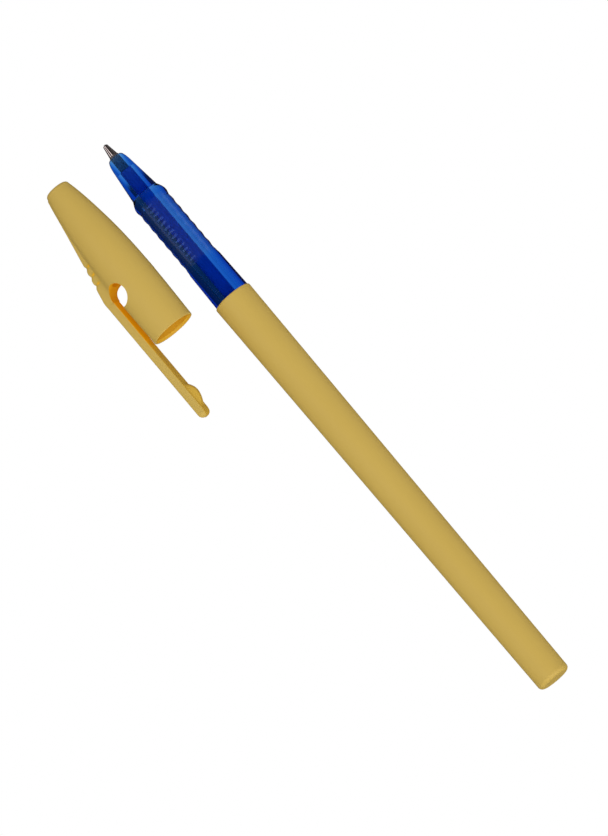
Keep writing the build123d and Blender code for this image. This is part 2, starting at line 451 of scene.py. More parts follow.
def milky_tube():
    material, bench, shader, _ = new_finish("milky_tube", {"IOR": SATIN_IOR, "Specular IOR Level": 0.1})
    place = object_place(bench)
    drawn = noise(bench, stretched(bench, place, (0.02, 1.0, 1.0)), per_metre=3000.0)
    ink_line = pen_front.x + INK_START * MM
    inked = ramp(bench, part_of(bench, place, 0), ink_line, ink_line + INK_FADE * MM)
    clean = mixed(bench, drawn, TUBE_DARK, TUBE_LIGHT)
    filled = mixed(bench, drawn, INKED_DARK, INKED_LIGHT)
    feed(bench, shader, {
        "Base Color": mixed(bench, inked, clean, filled),
        "Roughness": drawn * 0.15 + 0.2,
        "Normal": bump(bench, drawn, 0.01 * MM, strength=0.4),
    })
    return material


def ink_paste():
    material, bench, shader, _ = new_finish("wet_ink", {"Specular IOR Level": 0.4})
    drawn_out = stretched(bench, object_place(bench), (0.2, 1.0, 1.0))
    streak = noise(bench, drawn_out, per_metre=1500.0, detail=4.0)
    feed(bench, shader, {
        "Base Color": mixed(bench, streak, INK_DARK, INK_LIGHT),
        "Roughness": streak * 0.2 + 0.18,
        "Normal": bump(bench, streak, 0.02 * MM, strength=0.3),
    })
    return material


tube_finish = milky_tube()
ink_finish = ink_paste()
print("made", tube_finish.name, ink_finish.name)

# %% [markdown]
# ## One tree that turns a profile
#
# Barrel, section, tip, ball, tube and ink are all round. A lathe makes them from half an outline, and
# so does this Geometry Nodes tree: it takes a line of profile points, lays a grid with one row for each
# point, and bends every row into a circle. A "wave" number on each point lets the tree add the grip's
# evenly spaced waves, so their pitch and depth stay inputs of the tree.

# %% The turning tree
SAME_POINT = 0.0004 * MM


def turning_tree():
    tree = bpy.data.node_groups.new("turn_a_profile", "GeometryNodeTree")
    for name, kind in (
        ("Profile", "NodeSocketGeometry"),
        ("Around", "NodeSocketInt"),
        ("Axis Point", "NodeSocketVector"),
        ("Wave Start", "NodeSocketFloat"),
        ("Wave Pitch", "NodeSocketFloat"),
        ("Wave Depth", "NodeSocketFloat"),
        ("Finish", "NodeSocketMaterial"),
    ):
        tree.interface.new_socket(name, in_out="INPUT", socket_type=kind)
    tree.interface.new_socket("Piece", in_out="OUTPUT", socket_type="NodeSocketGeometry")
    bench = Bench(tree)
    given = tree.nodes.new("NodeGroupInput")
    value = {socket.name: Wire(bench, socket) for socket in given.outputs if socket.name}

    rows = bench.add("GeometryNodeAttributeDomainSize", {"component": "MESH"}, {0: value["Profile"]})
    columns = value["Around"] + 1
    grid = bench.add("GeometryNodeMeshGrid", {}, {"Vertices X": rows, "Vertices Y": columns})
    index = bench.add("GeometryNodeInputIndex")
    row = bench.floor((index + 0.5) / columns)
    column = index - row * columns

    def at_row(data_type, field):
        return bench.add(
            "GeometryNodeSampleIndex",
            {"data_type": data_type, "domain": "POINT"},
            {"Geometry": value["Profile"], "Value": field, "Index": row},
        )

    point = at_row("FLOAT_VECTOR", bench.add("GeometryNodeInputPosition"))
    wave = at_row("FLOAT", bench.add(
        "GeometryNodeInputNamedAttribute", {"data_type": "FLOAT"}, {"Name": "wave"}))
    along, radius = part_of(bench, point, 0), part_of(bench, point, 1)
    swing = bench.cosine((along - value["Wave Start"]) / value["Wave Pitch"] * (2 * pi))
    radius = radius + wave * swing * value["Wave Depth"] * 0.5
    angle = column / value["Around"] * (2 * pi)
    ring = bench.add("ShaderNodeCombineXYZ", {}, {
        "X": along, "Y": radius * bench.cosine(angle), "Z": radius * bench.sine(angle)})
    placed = bench.add("ShaderNodeVectorMath", {"operation": "ADD"}, {0: ring, 1: value["Axis Point"]})
    turned = bench.add("GeometryNodeSetPosition", {}, {"Geometry": grid, "Position": placed})
    closed = bench.add("GeometryNodeMergeByDistance", {}, {"Geometry": turned, "Distance": SAME_POINT})
    real = bench.add("GeometryNodeRealizeInstances", {}, {"Geometry": closed})
    done = bench.add("GeometryNodeSetMaterial", {}, {"Geometry": real, "Material": value["Finish"]})
    output = tree.nodes.new("NodeGroupOutput")
    tree.links.new(done.socket, output.inputs["Piece"])
    return tree


lathe = turning_tree()
print("turning tree has", len(lathe.nodes), "nodes")

# %% [markdown]
# A profile is a list of points in millimetres, along the axis and out from it. Real mouldings have no
# knife edges, so a corner may ask for a small round, which becomes a short arc with a support point on
# either side. That keeps the flat faces flat when the surface is shaded smooth.

# %% Outlines with rounded corners
ARC_STEPS = 6
SUPPORT_SHARE, SUPPORT_MOST = 0.5, 0.05


def rounded_outline(corners, closed=True):
    """Profile points from corners of (x, radius, round); a round of 0 leaves the corner sharp."""
    points = []
    count = len(corners)
    for number, (x, y, size) in enumerate(corners):
        here = Vector((x, y))
        if size == 0 or (not closed and number in (0, count - 1)):
            points.append(here)
            continue
        before = Vector(corners[number - 1][:2]) - here
        after = Vector(corners[(number + 1) % count][:2]) - here
        half = before.angle(after) / 2
        reach = size / tan(half)
        middle = here + (before.normalized() + after.normalized()).normalized() * size / sin(half)
        start = here + before.normalized() * reach - middle
        end = here + after.normalized() * reach - middle
        support = min(SUPPORT_SHARE * size, SUPPORT_MOST)
        points.append(middle + start + before.normalized() * support)
        for step in range(ARC_STEPS + 1):
            share = step / ARC_STEPS
            points.append(middle + start.slerp(end, share) * size)
        points.append(middle + end + after.normalized() * support)
    if closed:
        points.append(points[0])
    return points


print("a rounded corner becomes", ARC_STEPS + 3, "points")

# %% Turn a profile into a piece
SHARP_FROM = radians(35.0)


def made_plain(item):
    """The mesh that an object's modifiers make of it. The object itself is removed."""
    evaluated = item.evaluated_get(bpy.context.evaluated_depsgraph_get())
    mesh = bpy.data.meshes.new_from_object(evaluated)
    bpy.data.objects.remove(item)
    return mesh


def as_piece(name, mesh):
    """A finished object from a mesh: closed, faces outwards, smooth but for its sharp edges."""
    work = bmesh.new()
    work.from_mesh(mesh)
    bmesh.ops.remove_doubles(work, verts=work.verts, dist=SAME_POINT)
    loose = [edge for edge in work.edges if not edge.link_faces]
    bmesh.ops.delete(work, geom=loose, context="EDGES")
    bmesh.ops.recalc_face_normals(work, faces=work.faces)
    open_edges = sum(1 for edge in work.edges if len(edge.link_faces) != 2)
    work.to_mesh(mesh)
    work.free()
    mesh.polygons.foreach_set("use_smooth", [True] * len(mesh.polygons))
    mesh.set_sharp_from_angle(angle=SHARP_FROM)
    print(name, len(mesh.polygons), "faces,", open_edges, "open edges")
    return add_object(name, mesh)


def turned_piece(name, profile, finish, around=128, wave=None, wave_sizes=(0.0, 1.0, 0.0)):
    """A round piece on the pen's axis; wave gives each profile point's share of the grip's waves."""
    line = bpy.data.meshes.new(name + "_profile")
    line.from_pydata([(x * MM, y * MM, 0.0) for x, y in profile], [], [])
    share = line.attributes.new("wave", "FLOAT", "POINT")
    share.data.foreach_set("value", wave or [0.0] * len(profile))
    blank = add_object(name + "_blank", line)
    modifier = blank.modifiers.new("turn", "NODES")
    modifier.node_group = lathe
    start, pitch, depth = wave_sizes
    sizes = {
        "Around": around,
        "Axis Point": pen_front,
        "Wave Start": start * MM,
        "Wave Pitch": pitch * MM,
        "Wave Depth": depth * MM,
        "Finish": finish,
    }
    for socket in lathe.interface.items_tree:
        if socket.name in sizes:
            modifier[socket.identifier] = sizes[socket.name]
    mesh = made_plain(blank)
    bpy.data.meshes.remove(line)
    return as_piece(name, mesh)


def settle(piece, body, node):
    """Says which body carries a piece and which solid it stands for, and hides that solid."""
    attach(piece, body)
    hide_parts(node)


print("lathe set up")

# %% [markdown]
# ## Writing tip and ball
#
# The tip is a cone with a shank behind it, drilled through for the ink, and its rim is rolled over the
# ball. The ball is a sphere turned about the axis, so its poles lie in line with the pen.

# %% Ball
ball_radius = 0.4
BALL_STEPS = 32
half_turn = [pi * step / BALL_STEPS for step in range(BALL_STEPS + 1)]
ball_profile = [(ball_radius - ball_radius * cos(a), ball_radius * sin(a)) for a in half_turn]
ball = turned_piece("rolling_ball", ball_profile, ball_finish, around=64)
settle(ball, "ball", "writing_ball")

# %% Tip
rim_x, rim_radius = 0.25, 0.52
shank_x, shank_radius = 3.35, 1.05
cone_end_x, cone_end_radius = shank_x - 0.45, shank_radius - 0.1
shank_start_x = shank_x - 0.30
shoulder_x = 6.95
tip_end_x, tip_spigot_radius = INK_START, 0.88
channel_radius = 0.35
ball_clearance = 0.02
SOCKET_STEPS = 10

socket_radius = ball_radius + ball_clearance
rim_reach = ball_radius - rim_x
rim_angle = atan2(sqrt(socket_radius ** 2 - rim_reach ** 2), -rim_reach)
seat_angle = asin(channel_radius / socket_radius)
socket_profile = []
for step in range(SOCKET_STEPS + 1):
    a = seat_angle + (rim_angle - seat_angle) * step / SOCKET_STEPS
    socket_profile.append((ball_radius + socket_radius * cos(a), socket_radius * sin(a), 0))
tip_corners = [
    (rim_x, rim_radius, 0.03),
    (cone_end_x, cone_end_radius, 0.05),
    (shank_start_x, shank_radius, 0.05),
    (shoulder_x, shank_radius, 0.08),
    (shoulder_x, tip_spigot_radius, 0),
    (tip_end_x, tip_spigot_radius, 0.1),
    (tip_end_x, channel_radius, 0),
]
tip = turned_piece("metal_tip", rounded_outline(tip_corners + socket_profile), tip_finish)
settle(tip, "pen", "writing_tip")

# %% [markdown]
# ## Ink tube and ink
#
# The tube slips over the back of the tip and runs far into the barrel. Only its front shows, through the
# clear plastic. The paste fills it from the tip's end and ends in a hollow meniscus.

# %% Tube and ink
tube_radius, tube_bore = 1.3, 0.9
tube_length, tube_edge = 121.0, 0.08
ink_length, ink_play = 96.0, 0.02
meniscus_depth = 0.5
MENISCUS_STEPS = 8

tube_end_x = shoulder_x + tube_length
tube_corners = [
    (shoulder_x, tube_bore, tube_edge),
    (shoulder_x, tube_radius, tube_edge),
    (tube_end_x, tube_radius, tube_edge),
    (tube_end_x, tube_bore, tube_edge),
]
tube = turned_piece("milky_ink_tube", rounded_outline(tube_corners), tube_finish, around=64)
settle(tube, "pen", "ink_tube")

ink_radius = tube_bore - ink_play
ink_end_x = tip_end_x + ink_length
meniscus = []
for step in range(MENISCUS_STEPS + 1):
    share = step / MENISCUS_STEPS
    meniscus.append((ink_end_x - meniscus_depth * (1 - share ** 2), ink_radius * share))
ink_profile = [(tip_end_x, 0.0), (tip_end_x, ink_radius)] + meniscus[::-1]
ink = turned_piece("ink_paste_column", ink_profile, ink_finish, around=64)
settle(ink, "pen", "ink_column")

# %% [markdown]
# ## Clear front section
#
# One moulding: a rounded nose, a flare, seven waves for the fingers, a small step and a smooth collar
# that the cap grips, then a spigot inside the barrel. It is hollow behind the flare. The wave share is 1
# along the grip and 0 elsewhere, and the tree does the rest.

# %% The section's measures
nose_face_radius, nose_tip_radius, nose_tip_handle = 1.2, 1.35, 1.78
nose_round_x, nose_front_radius = 5.6, 2.2
flare_x, nose_base_radius = 12.9, 3.05
crest_x, crest_radius = 15.1, 3.81
WAVES, WAVE_PITCH, WAVE_DEPTH = 7, 2.3, 0.12
grip_radius = 3.65
step_run = 0.9
collar_x = crest_x + WAVES * WAVE_PITCH + step_run
collar_front, collar_rear = 3.83, 4.0
barrel_x = 40.7
spigot_radius, spigot_end_x, spigot_round = 3.45, 48.7, 0.3
chamber_radius, chamber_cone = 2.34, 0.25
shank_bore, tube_room = 1.07, 1.35
small_round = 0.05
print("waves from", crest_x, "to", round(collar_x - step_run, 2), "mm")

# %% Soft curves
LEVEL_REACH = 0.42


def curve_points(start, first_handle, second_handle, end, steps):
    """Points of a cubic curve, without its last one."""
    points = []
    for step in range(steps):
        t = step / steps
        weights = ((1 - t) ** 3, 3 * t * (1 - t) ** 2, 3 * t * t * (1 - t), t ** 3)
        points.append(tuple(
            sum(w * p[axis] for w, p in zip(weights, (start, first_handle, second_handle, end)))
            for axis in (0, 1)
        ))
    return points


def level_curve(start, end, steps):
    """A curve that leaves and arrives level with the axis."""
    reach = LEVEL_REACH * (end[0] - start[0])
    return curve_points(start, (start[0] + reach, start[1]), (end[0] - reach, end[1]), end, steps)


def clamped(share):
    return min(max(share, 0.0), 1.0)


def eased(share):
    """A share from 0 to 1 that starts and ends gently."""
    share = clamped(share)
    return share * share * (3 - 2 * share)


print("halfway eased:", eased(0.5))

# %% Section
CURVE_STEPS, WAVE_STEPS = 24, 24
FLARE_LEAVES, FLARE_ARRIVES = (0.45, 0.72), 0.32

taper = (nose_base_radius - nose_front_radius) / (flare_x - nose_round_x)
nose_half = (nose_round_x - shank_x) / 2
nose = curve_points(
    (shank_x, nose_tip_radius),
    (shank_x, nose_tip_handle),
    (nose_round_x - nose_half, nose_front_radius - taper * nose_half),
    (nose_round_x, nose_front_radius),
    CURVE_STEPS)
flare_run, flare_rise = crest_x - flare_x, crest_radius - nose_base_radius
flare = curve_points(
    (flare_x, nose_base_radius),
    (flare_x + FLARE_LEAVES[0] * flare_run, nose_base_radius + FLARE_LEAVES[1] * flare_rise),
    (crest_x - FLARE_ARRIVES * flare_run, crest_radius),
    (crest_x, crest_radius),
    CURVE_STEPS)
swelling = crest_radius - WAVE_DEPTH / 2 - grip_radius
grip = []
for step in range(WAVES * WAVE_STEPS + 1):
    swollen = 1 - eased(2 * step / WAVE_STEPS)
    grip.append((crest_x + step * WAVE_PITCH / WAVE_STEPS, grip_radius + swelling * swollen))
grip_end = (collar_x - step_run, grip_radius + WAVE_DEPTH / 2)
collar_step = level_curve(grip_end, (collar_x, collar_front), CURVE_STEPS // 2)[1:]
inside = rounded_outline([
    (collar_x, collar_front, 0),
    (barrel_x, collar_rear, small_round),
    (barrel_x, spigot_radius, small_round),
    (spigot_end_x, spigot_radius, spigot_round),
    (spigot_end_x, chamber_radius, 0.1),
    (flare_x + chamber_cone, chamber_radius, 0.15),
    (flare_x, tube_room, 0.1),
    (shoulder_x, tube_room, small_round),
    (shoulder_x, shank_bore, small_round),
    (shank_x, shank_bore, small_round),
    (shank_x, nose_face_radius, 0),
], closed=False)
section_profile = nose + flare + grip + collar_step + [tuple(point) for point in inside] + nose[:1]
before_grip = len(nose) + len(flare)
after_grip = len(section_profile) - before_grip - len(grip)
section = turned_piece(
    "clear_section", section_profile, clear_finish, around=160,
    wave=[0.0] * before_grip + [1.0] * len(grip) + [0.0] * after_grip,
    wave_sizes=(crest_x, WAVE_PITCH, WAVE_DEPTH))
settle(section, "pen", "grip_section")

# %% [markdown]
# ## Barrel
#
# A long cone, a little thicker at the front, closed at the rear in one piece. The front edge is a small
# rounded lip over the collar, and the rear edge has a larger round. Inside, a socket takes the section's
# spigot, and a narrower bore holds the tube.

# %% Barrel
barrel_front, lip_round = 4.29, 0.28
barrel_rear, rear_round = 3.675, 0.9
socket_bore, socket_end_x = 3.47, 49.0
barrel_bore_front, barrel_bore_rear = 3.19, 2.63
rear_wall = 1.6
bore_end_x = pen_length - rear_wall
barrel_corners = [
    (barrel_x, socket_bore, 0.1),
    (barrel_x, barrel_front, lip_round),
    (pen_length, barrel_rear, rear_round),
    (pen_length, 0.0, 0),
]
hollow = [
    (bore_end_x, 0.0, 0),
    (bore_end_x, barrel_bore_rear, 0.3),
    (socket_end_x, barrel_bore_front, 0.1),
    (socket_end_x, socket_bore, 0.1),
]
barrel = turned_piece("pen_barrel", rounded_outline(barrel_corners + hollow), barrel_finish, around=192)
settle(barrel, "pen", "barrel")

# %% [markdown]
# ## Cap
#
# The cap is round inside but not outside: a keel grows smoothly out of it towards the clip, with three
# notches across it, and a round keyhole goes through the wall at the clip's root. The outside follows a
# rule: at every station and angle, the radius is the larger of the round body's and the keel's, eased
# into each other by a soft maximum. The inside is a plain bore, and the keyhole is cut last.

# %% The cap's measures
cap_top_round = 0.8
CAP_KNOTS = (
    (cap_top_round, 2.75, 0.24),
    (10.3, 4.24, 0.115),
    (23.4, 4.919, 0.005),
    (cap_length, 4.659, -0.028),
)
cap_bore_x, cap_bore = 15.3, 3.939
cap_inner_top_x, cap_inner_top = 1.0, 1.8
mouth_chamfer, mouth_round, mouth_lean = 0.5, 0.1, 0.18
keyhole_x, keyhole_radius = 25.3, 2.55
clip_inner, clip_outer = 5.709, 7.689
clip_half_width = 1.4
keel_rise = 0.215
hinge_x = keyhole_x - 1.2
first_notch, notch_pitch = 3.84, 1.96
NOTCHES = [hinge_x - first_notch - notch_pitch * number for number in range(3)]
notch_depth, notch_reach = 0.3, 0.45


def body_radius(x):
    """Radius of the cap's round body, from knots of place, radius and slope."""
    for (x0, r0, m0), (x1, r1, m1) in zip(CAP_KNOTS, CAP_KNOTS[1:]):
        if x <= x1:
            break
    run = x1 - x0
    t = clamped((x - x0) / run)
    return (
        (2 * t ** 3 - 3 * t ** 2 + 1) * r0
        + (t ** 3 - 2 * t ** 2 + t) * run * m0
        + (3 * t ** 2 - 2 * t ** 3) * r1
        + (t ** 3 - t ** 2) * run * m1
    )


def notch_share(x):
    """1 in the middle of a notch, 0 between notches."""
    return sum(np.exp(-((x - notch) / notch_reach) ** 2) for notch in NOTCHES)


def keel_line(x):
    """How far the keel stands out from the cap's axis."""
    return min(clip_outer - keel_rise * (hinge_x - x), clip_outer)


print("notches at", [round(notch, 2) for notch in NOTCHES], "mm from the cap's top")

# %% The cap's sections
KEEL_CORNER, NOTCH_CORNER = 9.0, 6.0
KEEL_EASE, KEEL_LEAST = 1.5, 0.3
KEEL_SIDE = 30.0
near_keel = np.radians(np.arange(-KEEL_SIDE, KEEL_SIDE, 0.5))
far_side = np.radians(np.linspace(KEEL_SIDE, 360.0 - KEEL_SIDE, 101))[:-1]
cap_angles = np.concatenate([near_keel, far_side])


def bar_radius(angle, outer, half_width, corner):
    """Distance from the axis to the outline of a bar; a higher corner number makes it squarer."""
    forward = np.cos(angle) / outer
    sideways = np.abs(np.sin(angle)) / half_width
    return (forward ** corner + sideways ** corner) ** (-1 / corner)


def keel_ring(x):
    """Outside radii of the cap at one station, keel included."""
    notch = notch_share(x)
    corner = KEEL_CORNER + (NOTCH_CORNER - KEEL_CORNER) * notch
    body = body_radius(x)
    blend = KEEL_EASE * max(keel_line(x) - body, KEEL_LEAST)
    lifted = (1 - 1 / KEEL_EASE) ** 2 * blend / 4
    towards_keel = np.where(np.cos(cap_angles) > 0.0, cap_angles, pi / 2)
    outer = keel_line(x) - lifted - notch_depth * notch
    keel = bar_radius(towards_keel, outer, clip_half_width, corner)
    nearness = np.maximum(blend - np.abs(keel - body), 0.0) / blend
    return np.maximum(keel, body) + nearness ** 2 * blend / 4


def round_ring(radius):
    return np.full(len(cap_angles), radius)


def leaning_ring(x):
    """Outside radii past the keyhole, where the wall grows a little thicker on the clip's side."""
    share = (x - keyhole_x) / (cap_length - keyhole_x)
    return round_ring(body_radius(x)) + mouth_lean * share * np.maximum(np.cos(cap_angles), 0.0) ** 2


print("each section of the cap has", len(cap_angles), "points")

# %% The cap's rings
TOP_RADII = (0.0, 0.7, 1.4, 1.9)
TOP_STEPS, MOUTH_STEPS, WALL_RINGS = 8, 4, 40
KEEL_START, NOTCH_ROOM, LAST_GAP = 1.1, 1.0, 0.1
COARSE, FINE, MEDIUM = 0.35, 0.09, 0.25


def quarter_turn(steps):
    """Angles from 0 to a right angle."""
    return [radians(90 * step / steps) for step in range(steps + 1)]


cap_rings = [(0.0, round_ring(radius)) for radius in TOP_RADII]
top_corner = CAP_KNOTS[0][1] - cap_top_round
for a in quarter_turn(TOP_STEPS):
    cap_rings.append((cap_top_round * (1 - cos(a)), round_ring(top_corner + cap_top_round * sin(a))))
notches_from, notches_to = NOTCHES[-1] - NOTCH_ROOM, NOTCHES[0] + NOTCH_ROOM
before_notches = np.arange(KEEL_START, notches_from, COARSE)
through_notches = np.arange(notches_from, notches_to, FINE)
after_notches = np.arange(notches_to, keyhole_x - LAST_GAP, MEDIUM)
for x in (*before_notches, *through_notches, *after_notches, keyhole_x):
    cap_rings.append((x, keel_ring(x)))
for x in np.linspace(keyhole_x, cap_length - mouth_round, WALL_RINGS):
    cap_rings.append((x, leaning_ring(x)))
for a in quarter_turn(MOUTH_STEPS)[1:]:
    mouth_x = cap_length - mouth_round * (1 - sin(a))
    cap_rings.append((mouth_x, leaning_ring(cap_length) - mouth_round * (1 - cos(a))))
cap_rings.append((cap_length, round_ring(cap_bore + mouth_chamfer)))
for x in np.linspace(cap_length - mouth_chamfer, cap_bore_x, WALL_RINGS):
    cap_rings.append((x, round_ring(cap_bore)))
cap_rings.append((cap_inner_top_x, round_ring(cap_inner_top)))
cap_rings.append((cap_inner_top_x, round_ring(0.0)))
print("cap has", len(cap_rings), "rings of", len(cap_angles))


# %% Close the rings
def cap_point(x, outward, across):
    """A place on the cap in metres, from its own measures in millimetres."""
    return cap_top + (cap_along * x + cap_outward * outward + cap_across * across) * MM


def ring_mesh(name, rings):
    """A mesh through closed rings of points, one after the other. Rings of one point become poles."""
    count = len(rings[0])
    faces = []
    for row in range(len(rings) - 1):
        for column in range(count):
            after = (column + 1) % count
            faces.append((
                row * count + column, row * count + after,
                (row + 1) * count + after, (row + 1) * count + column,
            ))
    mesh = bpy.data.meshes.new(name)
    mesh.from_pydata([point for ring in rings for point in ring], [], faces)
    work = bmesh.new()
    work.from_mesh(mesh)
    bmesh.ops.remove_doubles(work, verts=work.verts, dist=SAME_POINT)
    bmesh.ops.dissolve_degenerate(work, edges=work.edges, dist=SAME_POINT / 2)
    bmesh.ops.recalc_face_normals(work, faces=work.faces)
    work.to_mesh(mesh)
    work.free()
    return mesh


cap_blank = add_object("cap_blank", ring_mesh("cap_body", [
    [cap_point(x, r * cos(a), r * sin(a)) for r, a in zip(radii, cap_angles)] for x, radii in cap_rings
]))
print("cap without its keyhole has", len(cap_blank.data.polygons), "faces")

# %% Cut the keyhole
DRILL_SIDES = 72
keyhole_outward = clip_inner - keyhole_radius
drill_reach = clip_outer


def full_turn(steps):
    """Angles once round, without the last one."""
    return [2 * pi * step / steps for step in range(steps)]


drill_rings = []
for across, share in ((-drill_reach, 0.0), (-drill_reach, 1.0), (drill_reach, 1.0), (drill_reach, 0.0)):
    radius = share * keyhole_radius
    drill_rings.append([
        cap_point(keyhole_x + radius * cos(a), keyhole_outward + radius * sin(a), across)
        for a in full_turn(DRILL_SIDES)
    ])
drill = add_object("keyhole_drill", ring_mesh("keyhole_drill", drill_rings))
cut = cap_blank.modifiers.new("keyhole", "BOOLEAN")
cut.operation = "DIFFERENCE"
cut.solver = "MANIFOLD"
cut.object = drill
cap_mesh = made_plain(cap_blank)
bpy.data.objects.remove(drill)
cap_mesh.materials.clear()
cap_mesh.materials.append(cap_finish)
cap = as_piece("cap_body", cap_mesh)
settle(cap, "cap", "cap_shell")

# %% [markdown]
# The sheltered faces, which get the painted glow, follow from where a face lies and where it looks. In the
# cap these are the faces that look towards its own axis, the keyhole's wall, and the inner ends of the
# notches.

# %% Mark the sheltered faces for the painted glow
bore_glow, keyhole_glow = 0.75, 0.9
keyhole_skin, keyhole_nearby = 0.02, 2.0
looks_inward = 0.2
notch_end, notch_end_size, notch_end_across = 1.3, 0.65, 0.6


def cap_measures(point):
    """The reverse of cap_point: along, outward and across, in millimetres."""
    from_top = (point - cap_top) / MM
    return from_top.dot(cap_along), from_top.dot(cap_outward), from_top.dot(cap_across)


def mark_glow(piece, rule):
    """Writes the painted glow of each face, from a rule on its middle and its normal."""
    glow = piece.data.attributes.new("glow", "FLOAT", "FACE")
    glow.data.foreach_set("value", [rule(face.center, face.normal) for face in piece.data.polygons])
    print(piece.name, "has", sum(1 for item in glow.data if item.value > 0.5), "sheltered faces")


# Painted glow on the cap: the keyhole's wall, the bore and the inner ends of the notches.
def cap_glow(middle, normal):
    x, outward, across = cap_measures(middle)
    towards_axis = -(normal.dot(cap_outward) * outward + normal.dot(cap_across) * across)
    from_keyhole = hypot(x - keyhole_x, outward - keyhole_outward) - keyhole_radius
    if from_keyhole < keyhole_skin:
        return keyhole_glow
    if towards_axis / hypot(outward, across) > looks_inward:
        return keyhole_glow if from_keyhole < keyhole_nearby else bore_glow
    if x > hinge_x or abs(across) < notch_end_across:
        return 0.0
    below_crest = (keel_line(x) - notch_end - outward) / notch_end_size
    return notch_share(x) ** 2 * exp(-below_crest ** 2)


mark_glow(cap, cap_glow)

# %% [markdown]
# ## Spring clip
#
# The clip is a straight arm that starts where the keel ends, runs past the mouth and carries a nub on its
# inner side. On the real cap it bends at its root when it is pushed onto a pocket. Here the script only
# works out where such a bend would start and end, over the first part of the clip's length.
# Cap and clip are kept out of mirrors, because their few mirrored rays would only leave specks on the
# clear section.

# %% The clip's sections
clip_end_x = cap_length + 17.57
nub_x, nub_height = clip_end_x - 5.38, 1.15
nub_half, nub_run_out = 2.55, 3.2
nub_flat, nub_foot, nub_fullness = 0.35, 1.15, 1.15
end_run, outer_run = 1.9, 1.1
inner_edge, inner_edge_from, inner_side = 0.08, 0.91, 0.97
OUTER_POINTS, INNER_POINTS = 49, 33
clip_middle = (clip_inner + clip_outer) / 2


def end_share(x, run):
    """1 along the clip, and down to 0 at its end by a quarter of an ellipse that is so long."""
    return sqrt(1 - max(0.0, 1 - (clip_end_x - x) / run) ** 2)


def clip_ring(x):
    """One section of the clip: the keel's outer edge, and an inner side that swells to a narrow nub."""
    keep, keep_outer = end_share(x, end_run), end_share(x, outer_run)
    low = clip_middle - keep * (clip_middle - clip_inner)
    high = clip_middle + keep_outer * (clip_outer - clip_middle)
    half = clip_half_width * keep_outer
    raised_edge = inner_edge * keep
    spread = atan2(half, low)
    ring = []
    for a in np.linspace(-spread, spread, OUTER_POINTS):
        radius = bar_radius(a, high, half, KEEL_CORNER)
        ring.append(cap_point(x, max(radius * cos(a), low + raised_edge), radius * sin(a)))
    reach = nub_half if x < nub_x else nub_run_out
    swell = nub_height * max(0.0, 1 - ((x - nub_x) / reach) ** 2) ** nub_fullness
    for share in np.linspace(inner_side, -inner_side, INNER_POINTS):
        dome = 1 - eased((abs(share * half) - nub_flat) / (nub_foot - nub_flat))
        edge = max(0.0, (abs(share) - inner_edge_from) / (1 - inner_edge_from)) ** 2
        ring.append(cap_point(x, low + raised_edge * edge - swell * dome, share * half))
    return ring


print("clip reaches", round(clip_end_x - cap_length, 2), "mm past the cap's mouth")

# %% Clip
ARM_RINGS, END_STEPS = 60, 20
straight = np.linspace(keyhole_x, nub_x - nub_half, ARM_RINGS)
round_nub = np.linspace(nub_x - nub_half, clip_end_x - end_run, ARM_RINGS)[1:]
end_turn = [clip_end_x - end_run * (1 - sin(a)) for a in quarter_turn(END_STEPS)[1:-1]]
clip_rings = [clip_ring(x) for x in (*straight, *round_nub, *end_turn)]
first = clip_rings[0]
clip_rings.insert(0, [sum(first, Vector()) / len(first)] * len(first))
clip_rings.append([cap_point(clip_end_x, clip_middle, 0.0)] * len(first))
clip_mesh = ring_mesh("spring_clip", clip_rings)
clip_mesh.materials.append(cap_finish)
clip = as_piece("spring_clip", clip_mesh)

# %% Mark the clip's sheltered faces for the painted glow, and find where a bend would run
slot_past_mouth, slot_fade = 6.0, 8.0
clip_looks_inward = 0.3
slight_glow = 0.5
bend_length = 7.0


# Painted glow on the clip's inner side: full in the slot near the mouth, half further out.
def clip_glow(middle, normal):
    if normal.dot(cap_outward) > -clip_looks_inward:
        return 0.0
    in_slot = clamped((cap_length + slot_past_mouth - cap_measures(middle)[0]) / slot_fade)
    return max(in_slot, slight_glow)


mark_glow(clip, clip_glow)
bend_start = cap_point(keyhole_x, clip_inner, 0.0)
bend_end = cap_point(keyhole_x + bend_length, clip_inner, 0.0)
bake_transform(clip)
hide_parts("cap_clip")
for piece in (cap, clip):
    piece.visible_glossy = False

# %% [markdown]
# ## Floor and light
#
# The catalogue picture shows the pen on plain white, cut free of any shadow. So the floor shows each kind
# of ray something else. It is pure white to the camera, and a grey table to the light that goes between
# floor and pieces, which keeps the edges of the pieces dark, as they are in the picture. In a mirror it is
# nearly black. Seen through the clear section it is dark on the cap's side and light on the other, from
# the flare on, and that gives the section its dark and its light stripe.

# %% Floor
TABLE = (0.45, 0.45, 0.45, 1.0)
MIRRORED_TABLE = (0.05, 0.05, 0.05, 1.0)
PURE_WHITE = (1.0, 1.0, 1.0, 1.0)
SHADED_FLOOR, LIT_FLOOR = 0.13, 0.8
SHADE_EDGE = 1.5 * MM
SHADE_START, SHADE_FULL = 9.0, 12.0
FLOOR_RADIUS, FLOOR_SIDES = 6.0, 64
FLOOR_DROP = 2.1 * MM


def ray_path(bench, kind):
    """What the Light Path node says of a ray, such as 1 for a camera ray."""
    return bench.add("ShaderNodeLightPath", output=kind)


